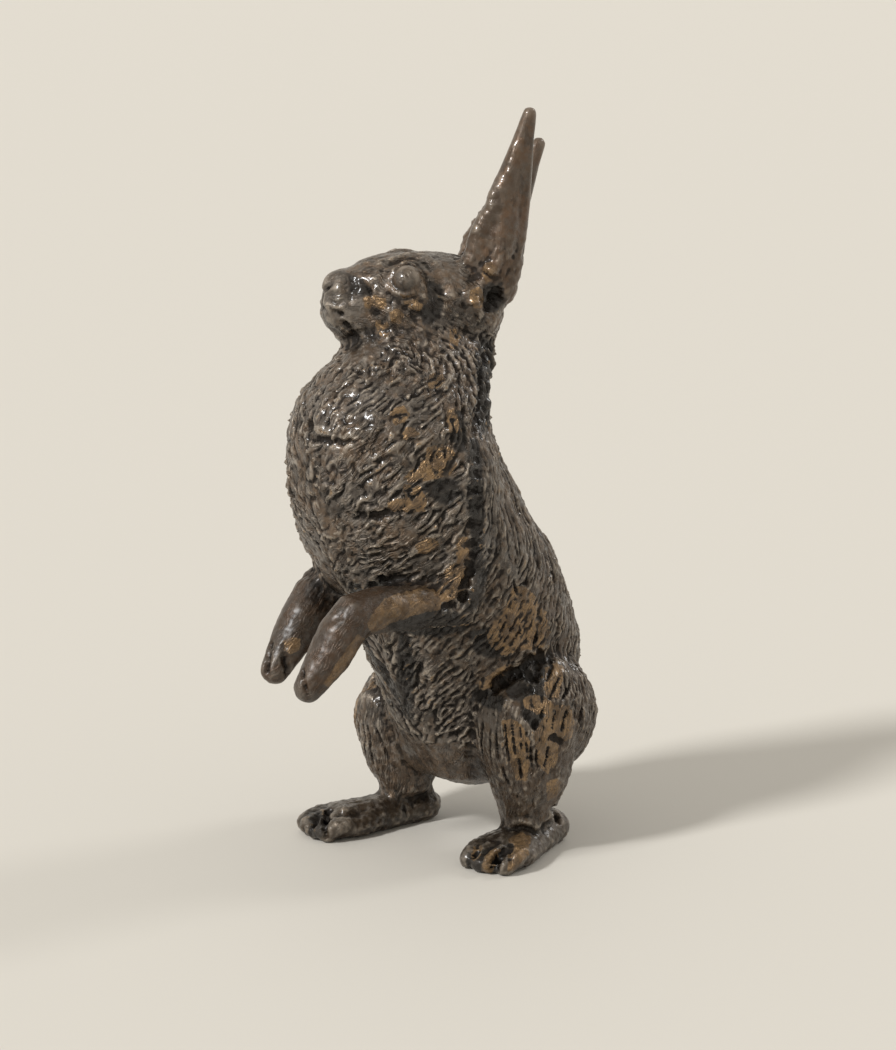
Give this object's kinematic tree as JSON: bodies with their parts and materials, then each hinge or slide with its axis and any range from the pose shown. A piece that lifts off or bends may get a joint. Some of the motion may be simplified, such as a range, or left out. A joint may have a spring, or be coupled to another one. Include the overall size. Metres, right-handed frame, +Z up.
{
  "type": "rabbit figurine",
  "caption": "Small cast bronze rabbit standing upright on its hind feet, forepaws hanging, head turned to one side, ears up; rests free-standing on its flat soles.",
  "frame": {"origin": "on the ground, under the middle of the bounding box", "axes": "+Z up, the rabbit's chest faces -Y, its left side is +X"},
  "size_m": [0.0272, 0.0426, 0.0754],
  "materials": {
    "bronze": "dark brown patina over chased fur, worn to warm metal on the high spots",
    "bronze_ear": "smooth, glossier brown patina",
    "bronze_paw": "smooth brown patina, handled",
    "bronze_foot": "dusty brown patina with a little green",
    "brass_pin": "drawn rod, hidden"
  },
  "bodies": {
    "root": {"torso": "bronze", "head": "bronze", "tail": "bronze", "left_hind_leg": "bronze", "right_hind_leg": "bronze", "left_ear": "bronze_ear", "right_ear": "bronze_ear", "left_foreleg": "bronze_paw", "right_foreleg": "bronze_paw", "left_hind_foot": "bronze_foot", "right_hind_foot": "bronze_foot", "neck_pin": "brass_pin", "left_ear_pin": "brass_pin", "right_ear_pin": "brass_pin", "left_foreleg_pin": "brass_pin", "right_foreleg_pin": "brass_pin", "left_hip_pin": "brass_pin", "right_hip_pin": "brass_pin", "left_ankle_pin": "brass_pin", "right_ankle_pin": "brass_pin", "tail_pin": "brass_pin"}
  },
  "joints": []
}
